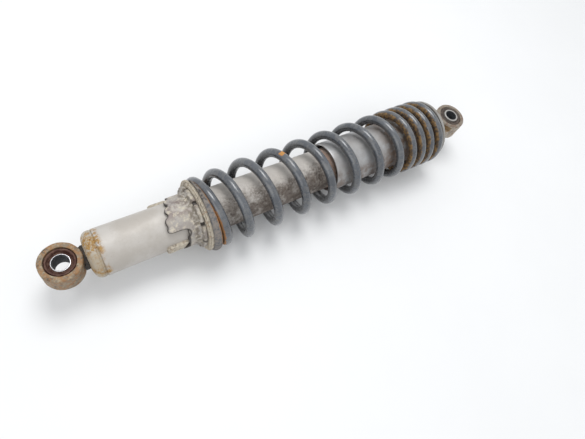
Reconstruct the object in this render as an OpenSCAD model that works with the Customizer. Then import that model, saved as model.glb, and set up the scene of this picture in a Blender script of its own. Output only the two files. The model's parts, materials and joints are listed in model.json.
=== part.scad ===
// Coil-over rear shock absorber with a twin-tube hydraulic damper, lying along X.
// Origin: centre of the lower eye's bore. +X runs to the upper eye and +Z runs along both bores.
// Angles about the shock's axis are measured from +Y towards +Z.
// It is drawn at full extension, with the preload cam at its softest step.

/* [Overall] */
// Distance between the centres of the two eyes
eye_to_eye = 420; // [418:0.5:424]
// Radius of both bolt bores
bolt_bore_r = 6.1; // [5.8:0.05:6.2]

/* [Lower eye] */
// Outer radius of the lower eye ring
lower_ring_r = 15.75; // [15:0.25:16.5]
// Width of the lower eye ring along its bore
lower_ring_w = 19.2; // [17:0.2:22]
// Outer radius of the lower rubber bush
lower_rubber_r = 11.6; // [10.5:0.1:12.5]
// Outer radius of the lower sleeve
lower_sleeve_r = 7; // [6.8:0.1:7.4]
// Length of the lower sleeve
lower_sleeve_len = 15; // [14:0.2:16]

/* [Upper eye] */
// Outer radius of the upper eye ring
upper_ring_r = 16.4; // [15.5:0.1:17]
// Width of the upper eye ring along its bore
upper_ring_w = 20.4; // [18:0.2:23]
// Outer radius of the upper rubber bush
upper_rubber_r = 12.6; // [11.5:0.1:13.5]
// Outer radius of the upper sleeve
upper_sleeve_r = 8; // [7.4:0.1:8.4]
// Length of the upper sleeve
upper_sleeve_len = 22; // [21:0.2:24]

/* [Damper tubes] */
// Outer radius of the reservoir tube
tube_r = 19.3; // [19:0.1:19.5]
// Wall of the reservoir tube
tube_wall = 2; // [1.5:0.1:2.2]
// Bore radius of the pressure tube
bore_r = 13.5; // [13.4:0.05:13.6]
// Wall of the pressure tube
bore_wall = 1; // [0.8:0.1:1.4]
// Outer end of the reservoir tube, measured from the lower eye
tube_end_x = 258; // [256:0.5:262]
// Radius of the piston rod
rod_r = 5; // [4.8:0.1:5.2]

/* [Travel] */
// Stroke of the damper before the bump stop meets the gland
stroke = 85; // [60:1:86]

/* [Preload cam] */
// Number of preload steps after the softest one
cam_steps = 4; // [2:1:4]
// Turn of the cam ring per step, in degrees
cam_step_angle = 30; // [28:1:30]
// Rise of the spring seat per step
cam_step_rise = 3.8; // [3:0.1:3.8]
// Outer radius of the cam sleeve
cam_r = 22.5; // [22:0.1:22.8]
// Outer radius of the stop lugs
lug_r = 22; // [21.2:0.1:22.4]
// Number of spanner notches in the cam ring's collar
cam_notches = 9; // [6:1:10]

/* [Spring] */
// Radius of the spring wire
wire_r = 4.2; // [3.6:0.1:4.2]
// Mean radius of the working coils
coil_r = 30.6; // [30.2:0.1:31]
// Face of the lower spring seat at its softest step
lower_seat_x = 109.5; // [109:0.1:110]
// Face of the upper spring seat
upper_seat_x = 378.5; // [378:0.1:379]

/* [Shroud] */
// Outer radius of the dust shroud
shroud_r = 24.1; // [23.6:0.1:24.6]
// Wall of the dust shroud
shroud_wall = 1.5; // [1:0.1:2]
// Open end of the dust shroud
shroud_x = 242.8; // [230:0.2:250]

/* [Hidden] */

$fn = 96;

// Clearance between a turning sleeve and its rubber, and between the rod and its bush
run = 0.05;
// Clearance between parts that move past each other
gap = 0.3;
// Sideways space between the lug ends and the cam steps
cam_gap = 0.5;
// Overlap that lets a cutting shape pass right through
cut = 1;

// Bottom cap and base valve, from the lower eye upwards
cap_x = 17.5;
cap_flat_r = 10;
cap_top_x = 27;
cap_spigot_x = 31;
cap_floor_x = 20.5;
valve_x = cap_top_x + 0.5;
valve_top_x = valve_x + 9.5;
valve_bolt_r = 3;
valve_shim_t = 1;
check_t = 0.8;
face_gap = 0.1;

// Gland at the upper end of the tubes
tube_bore_r = tube_r - tube_wall;
gland_t = 2.5;
gland_x = tube_end_x - 1.5 - gland_t;
guide_x = gland_x - 12;
guide_foot = 6;
seal_x = gland_x - 6;
seal_r = 11;
bush_r = rod_r + 1.5;
wiper_r = 7.5;
wiper_end_x = gland_x + gland_t + 3.5;

// Piston, counted down from the rod guide
piston_r = bore_r - 0.5;
spigot_r = rod_r - 1;
spacer_len = 12;
spacer_x = guide_x - guide_foot - 0.6 - spacer_len;
piston_len = 8;
piston_top_x = spacer_x - 3.2;
piston_x = piston_top_x - piston_len;
band_r = bore_r - run;
band_groove_r = piston_r - 0.6;

// Cam ring: the notch for a lug starts at lug_start, and each step starts cam_step_angle further on
lug_half_w = 5.7;
lug_mid = 2;
lug_start = lug_mid - 15;
lug_x = 73.5;
lug_end_x = 92.3;
cam_notch_x = lug_end_x + cam_gap;
relief_x = 95;
hump_x = 90.8;
collar_x = 103;
collar_end_x = lower_seat_x - 3.3;
collar_r = 27.3;
notch_depth = 2.2;
notch_w = 3.4;
notch_start = 12;
seat_t = 3;
seat_r = 32;
pilot_r = 23.4;
pilot_end_x = lower_seat_x + 4.5;

// Upper end
shroud_end_x = upper_seat_x - 0.2;
cup_x = shroud_end_x - 5.3;
bump_x = wiper_end_x + stroke + 1;
neck_x = upper_seat_x + 7.5;
neck_half_h = 7;
neck_r = 9.5;
// Flared plate between neck and upper ring: its half width at either end, and its faces
flare_start_w = 13;
flare_end_w = 15.2;
flare_low_z = -8;
flare_high_z = 3;
rod_end_x = neck_x + 12;

// Stations of the spring wire: turn, position along X, mean radius
spring_stations = [
    [0.14, lower_seat_x - 2.4, 29.6], [0.26, lower_seat_x + 1.2, 30.2], [0.60, lower_seat_x + 5.5, 30.0],
    [1.00, lower_seat_x + 4.8, 28.4], [1.15, lower_seat_x + 5.3, 28.2], [1.29, lower_seat_x + 9.4, 28.5],
    [1.55, lower_seat_x + 15.1, 29.2],
    [2.08, 134, 29.4], [2.55, 146, 30.4], [3.08, 161.5, coil_r], [8.00, 307.5, coil_r],
    [8.40, 317, coil_r], [8.75, 324, coil_r], [9.40, 335, coil_r], [10.40, 348, coil_r],
    [11.40, 360.3, coil_r], [12.05, 368.6, coil_r], [12.40, upper_seat_x - 5.2, coil_r],
    [13.05, upper_seat_x - 1.2, coil_r - 0.4]
];
spring_x_table = [for (s = spring_stations) [s[0], s[1]]];
spring_r_table = [for (s = spring_stations) [s[0], s[2]]];
spring_start = spring_stations[0][0];
spring_end = spring_stations[len(spring_stations) - 1][0];
rings_per_turn = 28;
wire_sides = 10;

// Profile of revolution about X, from points [radius, x]
module turned(points) rotate([0, 90, 0]) rotate_extrude() polygon(points);

// Solid cylinder along X
module rod_x(r, x0, x1) translate([x0, 0, 0]) rotate([0, 90, 0]) cylinder(r = r, h = x1 - x0);

// Tube along X
module tube_x(r_out, r_in, x0, x1) difference() {
    rod_x(r_out, x0, x1);
    rod_x(r_in, x0 - cut, x1 + cut);
}

// Ring of n holes along X
module holes_x(n, r, pitch_r, x0, x1) for (i = [0:n - 1])
    rotate([360 * i / n, 0, 0]) translate([0, pitch_r, 0]) rod_x(r, x0, x1, $fn = 24);

// Wedge about X between two angles
module wedge(a0, a1, r, x0, x1) translate([x0, 0, 0]) rotate([90, 0, 90])
    linear_extrude(x1 - x0)
    polygon([[0, 0], for (i = [0:2]) let (a = a0 + (a1 - a0) * i / 2) r * [cos(a), sin(a)]]);

// Eye ring with chamfered rims, its bore along Z
module eye_ring(x, r_out, r_in, w, chamfer) translate([x, 0, 0]) rotate_extrude() polygon([
    [r_in, -w / 2], [r_out - chamfer, -w / 2], [r_out, -w / 2 + chamfer],
    [r_out, w / 2 - chamfer], [r_out - chamfer, w / 2], [r_in, w / 2]
]);

// Rubber bush with a raised lip and a groove at each end
module eye_rubber(x, r_out, r_in, face_z, lip_z, sleeve_z) {
    lip_r = r_out - 1.6;
    half = [
        [r_out, face_z - 2.4], [r_out - 0.6, face_z - 2.4], [lip_r, lip_z],
        [lip_r - 1, lip_z], [lip_r - 1.8, sleeve_z - 1.4], [r_in, sleeve_z - 0.6]
    ];
    low = [for (i = [len(half) - 1:-1:0]) [half[i][0], -half[i][1]]];
    translate([x, 0, 0]) rotate_extrude() polygon(concat(half, low));
}

// Sleeve that the mounting bolt passes through
module eye_sleeve(x, r, length) translate([x, 0, 0]) difference() {
    cylinder(r = r, h = length, center = true);
    cylinder(r = bolt_bore_r, h = length + 2 * cut, center = true);
}

module lower_eye_ring() color("tan") eye_ring(0, lower_ring_r, lower_rubber_r, lower_ring_w, 0.8);

module lower_eye_weld() color([0.2, 0.18, 0.16]) difference() {
    turned([[0, 8], [7.6, 8], [7.6, 15.2], [9.6, cap_x], [0, cap_x]]);
    cylinder(r = lower_ring_r, h = 60, center = true);
}

module lower_bush_rubber() color([0.25, 0.13, 0.11])
    eye_rubber(0, lower_rubber_r, lower_sleeve_r + run, lower_ring_w / 2, lower_ring_w / 2 - 0.6,
               lower_sleeve_len / 2);

module lower_sleeve() color("silver") eye_sleeve(0, lower_sleeve_r, lower_sleeve_len);

module bottom_cap() {
    dome_r = tube_r - 0.4 - cap_flat_r;
    color([0.72, 0.70, 0.67]) turned(concat(
        [[0, cap_x]],
        [for (a = [0:10:90]) [cap_flat_r + dome_r * sin(a), cap_x + dome_r * (1 - cos(a))]],
        [[tube_r - 0.4, cap_top_x], [tube_bore_r, cap_top_x], [tube_bore_r, cap_spigot_x],
         [bore_r + bore_wall, cap_spigot_x], [bore_r + bore_wall, cap_floor_x + 3.5], [8, cap_floor_x],
         [0, cap_floor_x]]
    ));
}

module reservoir_tube() color([0.78, 0.77, 0.75]) union() {
    tube_x(tube_r, tube_bore_r, cap_top_x, tube_end_x - 1.5);
    tube_x(tube_r, tube_r - 4, tube_end_x - 1.5, tube_end_x);
}

module preload_stop_lugs() color([0.80, 0.76, 0.66]) intersection() {
    tube_x(lug_r, tube_r, lug_x, lug_end_x);
    for (side = [0, 180]) rotate([lug_mid + side, 0, 0]) translate([0, lug_r + cut, 0]) rotate([90, 0, 0])
        linear_extrude(lug_r / 2) polygon([
            [lug_x, -lug_half_w + 2], [lug_x + 2, -lug_half_w], [lug_end_x, -lug_half_w],
            [lug_end_x - cam_step_rise, lug_half_w], [lug_x + 2, lug_half_w], [lug_x, lug_half_w - 2]
        ]);
}

module pressure_tube() color("silver")
    tube_x(bore_r + bore_wall, bore_r, cap_spigot_x, guide_x);

module base_valve_body() color([0.62, 0.60, 0.55]) difference() {
    turned([[0, valve_x], [bore_r + bore_wall, valve_x], [bore_r + bore_wall, cap_spigot_x],
            [bore_r, cap_spigot_x], [bore_r, valve_top_x], [0, valve_top_x]]);
    rod_x(valve_bolt_r, valve_x - cut, valve_top_x + cut);
    holes_x(8, 1.3, 9.6, valve_x - cut, valve_top_x + cut);
    holes_x(4, 0.8, 5.6, valve_x - cut, valve_top_x + cut);
}

module base_valve_shims() color([0.55, 0.56, 0.58])
    tube_x(7.4, valve_bolt_r, valve_x - valve_shim_t, valve_x);

module base_valve_bolt() color([0.5, 0.5, 0.52])
    turned([[0, cap_floor_x + 1.8], [valve_bolt_r, cap_floor_x + 1.8],
            [valve_bolt_r, valve_top_x + 2], [8, valve_top_x + 2],
            [8, valve_top_x + 3], [5, valve_top_x + 5], [0, valve_top_x + 5]]);

module base_valve_nut() color([0.45, 0.45, 0.47]) difference() {
    translate([cap_floor_x + 3, 0, 0]) rotate([0, 90, 0]) cylinder(r = 5.5, h = 3, $fn = 6);
    rod_x(valve_bolt_r, cap_floor_x, valve_x);
}

module base_check_plate() color([0.6, 0.62, 0.65])
    tube_x(bore_r - 0.8, valve_bolt_r + gap, valve_top_x + face_gap, valve_top_x + face_gap + check_t);

module rod_guide() color([0.6, 0.58, 0.54]) turned([
    [bush_r, guide_x - guide_foot], [bore_r, guide_x - guide_foot], [bore_r, guide_x],
    [tube_bore_r, guide_x], [tube_bore_r, gland_x], [seal_r, gland_x], [seal_r, seal_x],
    [bush_r, seal_x]
]);

module guide_bush() color([0.70, 0.52, 0.28])
    tube_x(bush_r, rod_r + run, guide_x - guide_foot + 1, seal_x - 0.5);

module oil_seal() color([0.12, 0.12, 0.13]) turned([
    [seal_r, seal_x], [seal_r, gland_x], [8.5, gland_x], [8.5, seal_x + 3.4], [rod_r + 0.9, gland_x - 0.8],
    [rod_r + 0.08, gland_x - 1.6], [rod_r + 0.08, gland_x - 2.4], [rod_r + 1.2, seal_x + 1.6],
    [rod_r + 1.2, seal_x]
]);

module gland_ring() color([0.5, 0.5, 0.5]) tube_x(tube_bore_r, wiper_r, gland_x, gland_x + gland_t);

module rod_wiper() color([0.1, 0.1, 0.1]) turned([
    [rod_r + 0.8, gland_x], [wiper_r, gland_x], [wiper_r, gland_x + gland_t], [9, gland_x + gland_t],
    [9, gland_x + gland_t + 1.5], [rod_r + 0.9, wiper_end_x], [rod_r + 0.1, wiper_end_x],
    [rod_r + 0.1, wiper_end_x - 0.8], [rod_r + 0.8, gland_x + gland_t]
]);

// One half turn of the cam edge: the relief, the hump and then the falling steps
module cam_edge_half() {
    r = cam_r + 4;
    wedge(lug_start - 30, lug_start - 15, r, relief_x, collar_x);
    wedge(lug_start - 15, lug_start - 5, r, hump_x, collar_x);
    wedge(lug_start - 5, lug_start + cam_step_angle, r, cam_notch_x, collar_x);
    for (n = [1:cam_steps]) {
        last = n == cam_steps ? 150 : (n + 1) * cam_step_angle;
        wedge(lug_start + n * cam_step_angle, lug_start + last, r, cam_notch_x - n * cam_step_rise,
              collar_x);
    }
}

module preload_cam_ring() color([0.72, 0.68, 0.60]) difference() {
    union() {
        intersection() {
            tube_x(cam_r, tube_r + gap, lug_x, collar_x);
            for (side = [0, 180]) rotate([side, 0, 0]) cam_edge_half();
        }
        turned([[tube_r + gap, collar_x], [cam_r, collar_x], [cam_r + 1.5, collar_x],
                [collar_r, collar_x + 0.4], [collar_r, collar_end_x], [tube_r + gap, collar_end_x]]);
    }
    for (i = [0:cam_notches - 1]) rotate([notch_start + 360 * i / cam_notches, 0, 0])
        translate([collar_x - cut, collar_r - notch_depth, -notch_w / 2])
            cube([collar_end_x - collar_x + 2 * cut, 3 * notch_depth, notch_w]);
}

module lower_spring_seat() color([0.74, 0.70, 0.62]) turned([
    [tube_r + gap, lower_seat_x - seat_t], [seat_r - 0.6, lower_seat_x - seat_t],
    [seat_r, lower_seat_x - seat_t + 0.6], [seat_r, lower_seat_x], [pilot_r, lower_seat_x],
    [pilot_r - 0.8, pilot_end_x], [tube_r + gap, pilot_end_x]
]);

// Wire centre at a turn, with the changes of pitch rounded off
function spring_x(t) = (lookup(t - 0.1, spring_x_table) + 2 * lookup(t, spring_x_table)
    + lookup(t + 0.1, spring_x_table)) / 4;
function spring_slope(t) = (spring_x(t + 0.02) - spring_x(t - 0.02)) / 0.04;
function ground(x) = min(max(x, lower_seat_x), upper_seat_x);
function wire_point(t, side) =
    let (a = 360 * t, b = 360 * side / wire_sides, r = lookup(t, spring_r_table),
         tilt = atan(spring_slope(t) / (2 * PI * r)),
         out = wire_r * cos(b), along = wire_r * sin(b))
    [ground(spring_x(t) + along * cos(tilt)),
     (r + out) * cos(a) + along * sin(tilt) * sin(a),
     (r + out) * sin(a) - along * sin(tilt) * cos(a)];
function wire_centre(t) = let (r = lookup(t, spring_r_table))
    [ground(spring_x(t)), r * cos(360 * t), r * sin(360 * t)];

module coil_spring() {
    count = round((spring_end - spring_start) * rings_per_turn);
    turn_at = [for (i = [0:count]) spring_start + (spring_end - spring_start) * i / count];
    points = concat([for (t = turn_at) for (s = [0:wire_sides - 1]) wire_point(t, s)],
                    [wire_centre(spring_start), wire_centre(spring_end)]);
    first = (count + 1) * wire_sides;
    walls = [for (i = [0:count - 1]) for (s = [0:wire_sides - 1])
        let (a = i * wire_sides, b = a + wire_sides, n = (s + 1) % wire_sides)
        each [[a + s, a + n, b + s], [a + n, b + n, b + s]]];
    caps = [for (s = [0:wire_sides - 1]) let (n = (s + 1) % wire_sides, e = count * wire_sides)
        each [[first, n, s], [first + 1, e + s, e + n]]];
    color([0.36, 0.40, 0.45]) polyhedron(points, concat(walls, caps));
}

module piston_rod() color([0.82, 0.83, 0.85]) union() {
    rod_x(spigot_r, piston_x - 9, spacer_x);
    rod_x(rod_r, spacer_x, rod_end_x);
}

module piston() color([0.58, 0.56, 0.52]) difference() {
    rod_x(piston_r, piston_x, piston_top_x);
    rod_x(spigot_r, piston_x - cut, piston_top_x + cut);
    tube_x(bore_r, band_groove_r, piston_x + 1, piston_top_x - 1);
    holes_x(6, 1.2, 9, piston_x - cut, piston_top_x + cut);
    holes_x(4, 0.9, 6, piston_x - cut, piston_top_x + cut);
}

module piston_band() color([0.45, 0.30, 0.18])
    tube_x(band_r, band_groove_r + run, piston_x + 1 + run, piston_top_x - 1 - run);

module piston_shims() color([0.55, 0.57, 0.6]) union() {
    tube_x(7.6, spigot_r, piston_x - 0.6, piston_x);
    tube_x(6.6, spigot_r, piston_x - 1.2, piston_x - 0.6);
}

module piston_nut() color([0.45, 0.45, 0.47]) difference() {
    translate([piston_x - 6.2, 0, 0]) rotate([0, 90, 0]) cylinder(r = 7.2, h = 5, $fn = 6);
    rod_x(spigot_r, piston_x - 10, piston_x);
}

module piston_check_plate() color([0.6, 0.62, 0.65])
    tube_x(bore_r - 1.4, 6.3, piston_top_x + face_gap, piston_top_x + face_gap + check_t);

module check_plate_stop() color([0.5, 0.52, 0.55]) union() {
    tube_x(6, spigot_r, piston_top_x, piston_top_x + 2);
    tube_x(11.5, spigot_r, piston_top_x + 2, spacer_x);
}

module topout_spacer() color([0.16, 0.16, 0.17])
    tube_x(rod_r + 3.5, rod_r, spacer_x, spacer_x + spacer_len);

module bump_stop() color([0.15, 0.14, 0.13]) turned([
    [rod_r + gap, bump_x], [9, bump_x], [11, bump_x + 4], [9.6, bump_x + 8], [12.4, bump_x + 13],
    [10.8, bump_x + 17.5], [13, cup_x - 2], [13, cup_x], [rod_r + gap, cup_x]
]);

module bump_stop_cup() color([0.55, 0.55, 0.56]) turned([
    [rod_r, cup_x], [17, cup_x], [17, cup_x - 3], [18.4, cup_x - 3], [18.4, shroud_end_x - 2],
    [rod_r, shroud_end_x - 2]
]);

module dust_shroud() color([0.72, 0.73, 0.74]) union() {
    tube_x(shroud_r, shroud_r - shroud_wall, shroud_x, shroud_end_x);
    tube_x(shroud_r - shroud_wall, rod_r, shroud_end_x - 2, shroud_end_x);
}

module upper_spring_seat() color([0.74, 0.73, 0.70]) turned([
    [rod_r, shroud_end_x], [shroud_r, shroud_end_x], [shroud_r + 0.5, upper_seat_x],
    [seat_r, upper_seat_x], [seat_r + 0.5, upper_seat_x + 0.8], [seat_r, upper_seat_x + 3],
    [22, upper_seat_x + 3.4], [17, neck_x], [rod_r, neck_x]
]);

module flare_plate() translate([0, 0, flare_low_z]) linear_extrude(flare_high_z - flare_low_z) polygon([
    [neck_x, -flare_start_w], [eye_to_eye - 6, -flare_end_w], [eye_to_eye - 6, flare_end_w],
    [neck_x, flare_start_w]
]);

module upper_eye_neck() color([0.76, 0.71, 0.62]) difference() {
    union() {
        intersection() {
            rod_x(neck_r, neck_x, eye_to_eye);
            translate([neck_x - cut, -neck_r, -neck_half_h])
                cube([60, 2 * neck_r, 2 * neck_half_h]);
        }
        flare_plate();
    }
    translate([eye_to_eye, 0, 0]) cylinder(r = upper_ring_r, h = 60, center = true);
    rod_x(rod_r, neck_x - cut, rod_end_x);
}

module upper_eye_ring() color([0.78, 0.73, 0.64])
    eye_ring(eye_to_eye, upper_ring_r, upper_rubber_r, upper_ring_w, 0.8);

module upper_bush_rubber() color([0.22, 0.17, 0.15])
    eye_rubber(eye_to_eye, upper_rubber_r, upper_sleeve_r + run, upper_ring_w / 2,
               upper_ring_w / 2 - 0.4, upper_sleeve_len / 2 - 0.6);

module upper_sleeve() color([0.66, 0.65, 0.63]) eye_sleeve(eye_to_eye, upper_sleeve_r, upper_sleeve_len);

lower_eye_ring();
lower_eye_weld();
lower_bush_rubber();
lower_sleeve();
bottom_cap();
reservoir_tube();
preload_stop_lugs();
pressure_tube();
base_valve_body();
base_valve_shims();
base_valve_bolt();
base_valve_nut();
base_check_plate();
rod_guide();
guide_bush();
oil_seal();
gland_ring();
rod_wiper();
preload_cam_ring();
lower_spring_seat();
coil_spring();
piston_rod();
piston();
piston_band();
piston_shims();
piston_nut();
piston_check_plate();
check_plate_stop();
topout_spacer();
bump_stop();
bump_stop_cup();
dust_shroud();
upper_spring_seat();
upper_eye_neck();
upper_eye_ring();
upper_bush_rubber();
upper_sleeve();
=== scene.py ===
"""Looks of a coil-over rear shock absorber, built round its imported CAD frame.

Lengths named here are in millimetres and are turned into metres when a mesh is made. Angles about
the shock's axis are measured from +Y towards +Z, as in the CAD.
"""

import json
import math

import bmesh
import bpy
import numpy as np
from mathutils import Matrix, Vector, noise


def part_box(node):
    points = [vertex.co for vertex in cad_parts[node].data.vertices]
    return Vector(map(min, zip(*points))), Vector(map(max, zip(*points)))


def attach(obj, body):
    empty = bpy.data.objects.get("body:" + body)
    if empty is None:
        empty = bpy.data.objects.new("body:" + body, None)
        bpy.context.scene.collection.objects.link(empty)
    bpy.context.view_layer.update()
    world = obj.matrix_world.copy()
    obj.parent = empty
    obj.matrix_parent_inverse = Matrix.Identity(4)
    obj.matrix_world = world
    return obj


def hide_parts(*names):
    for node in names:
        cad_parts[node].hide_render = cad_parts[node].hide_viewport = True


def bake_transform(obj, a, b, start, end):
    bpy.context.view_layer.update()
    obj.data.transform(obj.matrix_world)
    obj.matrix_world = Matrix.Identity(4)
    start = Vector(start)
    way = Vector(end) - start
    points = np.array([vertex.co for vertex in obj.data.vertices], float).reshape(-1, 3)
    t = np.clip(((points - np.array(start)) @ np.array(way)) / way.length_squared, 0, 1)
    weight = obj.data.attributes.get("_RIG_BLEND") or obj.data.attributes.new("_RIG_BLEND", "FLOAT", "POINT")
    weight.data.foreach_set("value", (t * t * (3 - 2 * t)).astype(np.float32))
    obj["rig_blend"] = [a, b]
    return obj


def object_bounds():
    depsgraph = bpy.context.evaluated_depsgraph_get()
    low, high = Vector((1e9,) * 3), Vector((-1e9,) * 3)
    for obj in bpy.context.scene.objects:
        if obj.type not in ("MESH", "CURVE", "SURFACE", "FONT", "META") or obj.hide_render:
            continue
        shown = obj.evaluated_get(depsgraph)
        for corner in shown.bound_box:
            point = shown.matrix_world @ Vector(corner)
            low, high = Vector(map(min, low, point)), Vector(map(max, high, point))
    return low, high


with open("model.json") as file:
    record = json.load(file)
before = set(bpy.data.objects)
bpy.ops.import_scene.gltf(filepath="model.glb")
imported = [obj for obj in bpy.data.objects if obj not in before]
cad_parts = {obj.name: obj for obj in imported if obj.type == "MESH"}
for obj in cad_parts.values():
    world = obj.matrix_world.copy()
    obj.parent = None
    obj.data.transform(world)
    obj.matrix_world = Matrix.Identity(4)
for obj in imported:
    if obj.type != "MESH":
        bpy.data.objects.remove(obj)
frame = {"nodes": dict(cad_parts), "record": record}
cad_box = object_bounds()
nodes = frame["nodes"]
MM = 0.001


def span(node):
    """Lowest and highest corner of a CAD node, in millimetres."""
    low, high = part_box(node)
    return low / MM, high / MM


def reach(node, axis):
    """Lowest and highest coordinate of a CAD node along one axis (0, 1 or 2), in millimetres."""
    low, high = span(node)
    return low[axis], high[axis]


# ---------------------------------------------------------------- sizes read from the frame

upper_x = sum(reach("upper_eye_ring", 0)) / 2
lower_ring_r = reach("lower_eye_ring", 1)[1]
lower_ring_z = reach("lower_eye_ring", 2)[1]
lower_rubber_r = reach("lower_bush_rubber", 1)[1]
lower_sleeve_r = reach("lower_sleeve", 1)[1]
lower_sleeve_z = reach("lower_sleeve", 2)[1]
upper_ring_r = reach("upper_eye_ring", 1)[1]
upper_ring_z = reach("upper_eye_ring", 2)[1]
upper_rubber_r = reach("upper_bush_rubber", 1)[1]
upper_sleeve_r = reach("upper_sleeve", 1)[1]
upper_sleeve_z = reach("upper_sleeve", 2)[1]
tube_r = reach("reservoir_tube", 1)[1]
tube_x = reach("reservoir_tube", 0)[0]
cap_x, cap_end_x = reach("bottom_cap", 0)
lug_x, lug_end_x = reach("preload_stop_lugs", 0)
lug_r = 22.0
cam_end_x = reach("preload_cam_ring", 0)[1]
seat_x, seat_end_x = reach("lower_spring_seat", 0)
seat_r = reach("lower_spring_seat", 1)[1]
shroud_x, shroud_end_x = reach("dust_shroud", 0)
shroud_r = reach("dust_shroud", 1)[1]
upper_seat_r = reach("upper_spring_seat", 1)[1]
neck_x = reach("upper_eye_neck", 0)[0]
neck_low_z, neck_half_h = reach("upper_eye_neck", 2)
flare_w = reach("upper_eye_neck", 1)[1]
lower_face_x, upper_face_x = reach("coil_spring", 0)
bore_r = 6.1
rod_r = 5.0


# ---------------------------------------------------------------- materials


class Paint:
    """A material under construction. Its helpers take and return sockets or plain values."""

    def __init__(self, name, **uniform):
        self.material = bpy.data.materials.new(name)
        self.material.use_nodes = True
        self.tree = self.material.node_tree
        self.shader = self.tree.nodes["Principled BSDF"]
        self.place = self.tree.nodes.new("ShaderNodeTexCoord").outputs["Object"]
        for socket, value in uniform.items():
            self.shader.inputs[socket.replace("_", " ")].default_value = value

    def feed(self, socket, value):
        if isinstance(value, bpy.types.NodeSocket):
            self.tree.links.new(value, socket)
        elif isinstance(value, tuple):
            socket.default_value = (*value, 1.0)
        else:
            socket.default_value = value

    def calc(self, operation, a, b=0.0):
        node = self.tree.nodes.new("ShaderNodeMath")
        node.operation = operation
        self.feed(node.inputs[0], a)
        self.feed(node.inputs[1], b)
        return node.outputs[0]

    def axis(self, index):
        """One coordinate of the point, in millimetres."""
        split = self.tree.nodes.new("ShaderNodeSeparateXYZ")
        self.tree.links.new(self.place, split.inputs[0])
        return self.calc("MULTIPLY", split.outputs[index], 1 / MM)

    def angle(self):
        """Angle about the shock's axis, in degrees from -180 to 180."""
        turn = self.calc("ARCTAN2", self.axis(2), self.axis(1))
        return self.calc("MULTIPLY", turn, 180 / math.pi)

    def attribute(self, name):
        node = self.tree.nodes.new("ShaderNodeAttribute")
        node.attribute_name = name
        return node.outputs["Fac"]

    def grain(self, size, detail=4.0, rough=0.6, stretch=(1, 1, 1), shift=0.0):
        """Noise from 0 to 1 whose features are about size millimetres across."""
        mapping = self.tree.nodes.new("ShaderNodeMapping")
        self.tree.links.new(self.place, mapping.inputs["Vector"])
        mapping.inputs["Scale"].default_value = stretch
        mapping.inputs["Location"].default_value = (shift, shift, shift)
        node = self.tree.nodes.new("ShaderNodeTexNoise")
        self.tree.links.new(mapping.outputs[0], node.inputs["Vector"])
        node.inputs["Scale"].default_value = 1 / (size * MM)
        node.inputs["Detail"].default_value = detail
        node.inputs["Roughness"].default_value = rough
        return node.outputs["Fac"]

    def step(self, value, low, high):
        """0 below low, 1 above high and smooth between them; low above high falls instead."""
        node = self.tree.nodes.new("ShaderNodeMapRange")
        node.interpolation_type = "SMOOTHSTEP"
        self.feed(node.inputs["Value"], value)
        flip = low > high
        node.inputs["From Min"].default_value = min(low, high)
        node.inputs["From Max"].default_value = max(low, high)
        node.inputs["To Min"].default_value = 1.0 if flip else 0.0
        node.inputs["To Max"].default_value = 0.0 if flip else 1.0
        return node.outputs["Result"]

    def near(self, value, centre, width, soft):
        """1 within width of centre, falling to 0 over soft."""
        away = self.calc("ABSOLUTE", self.calc("SUBTRACT", value, centre))
        return self.step(away, width + soft, width)

    def times(self, *values):
        product = values[0]
        for value in values[1:]:
            product = self.calc("MULTIPLY", product, value)
        return product

    def most(self, *values):
        largest = values[0]
        for value in values[1:]:
            largest = self.calc("MAXIMUM", largest, value)
        return largest

    def blend(self, share, a, b):
        """Colour a where share is 0 and b where it is 1."""
        node = self.tree.nodes.new("ShaderNodeMix")
        node.data_type = "RGBA"
        self.feed(node.inputs[0], share)
        self.feed(node.inputs[6], a)
        self.feed(node.inputs[7], b)
        return node.outputs[2]

    def bump(self, height, depth, strength=1.0):
        """Adds a bump of depth millimetres on top of those already there."""
        node = self.tree.nodes.new("ShaderNodeBump")
        node.inputs["Distance"].default_value = depth * MM
        node.inputs["Strength"].default_value = strength
        self.tree.links.new(height, node.inputs["Height"])
        before = self.shader.inputs["Normal"]
        if before.is_linked:
            self.tree.links.new(before.links[0].from_socket, node.inputs["Normal"])
        self.tree.links.new(node.outputs["Normal"], before)

    def done(self, colour, roughness):
        self.feed(self.shader.inputs["Base Color"], colour)
        self.feed(self.shader.inputs["Roughness"], roughness)
        return self.material

    def rough_mix(self, share, a, b):
        """A number that is a where share is 0 and b where it is 1."""
        return self.calc("ADD", self.calc("MULTIPLY", share, b - a), a)


RUST_OCHRE = (0.36, 0.215, 0.065)
RUST_BROWN = (0.17, 0.07, 0.03)
RUST_ORANGE = (0.48, 0.19, 0.035)
GRIME = (0.085, 0.065, 0.05)


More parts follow.
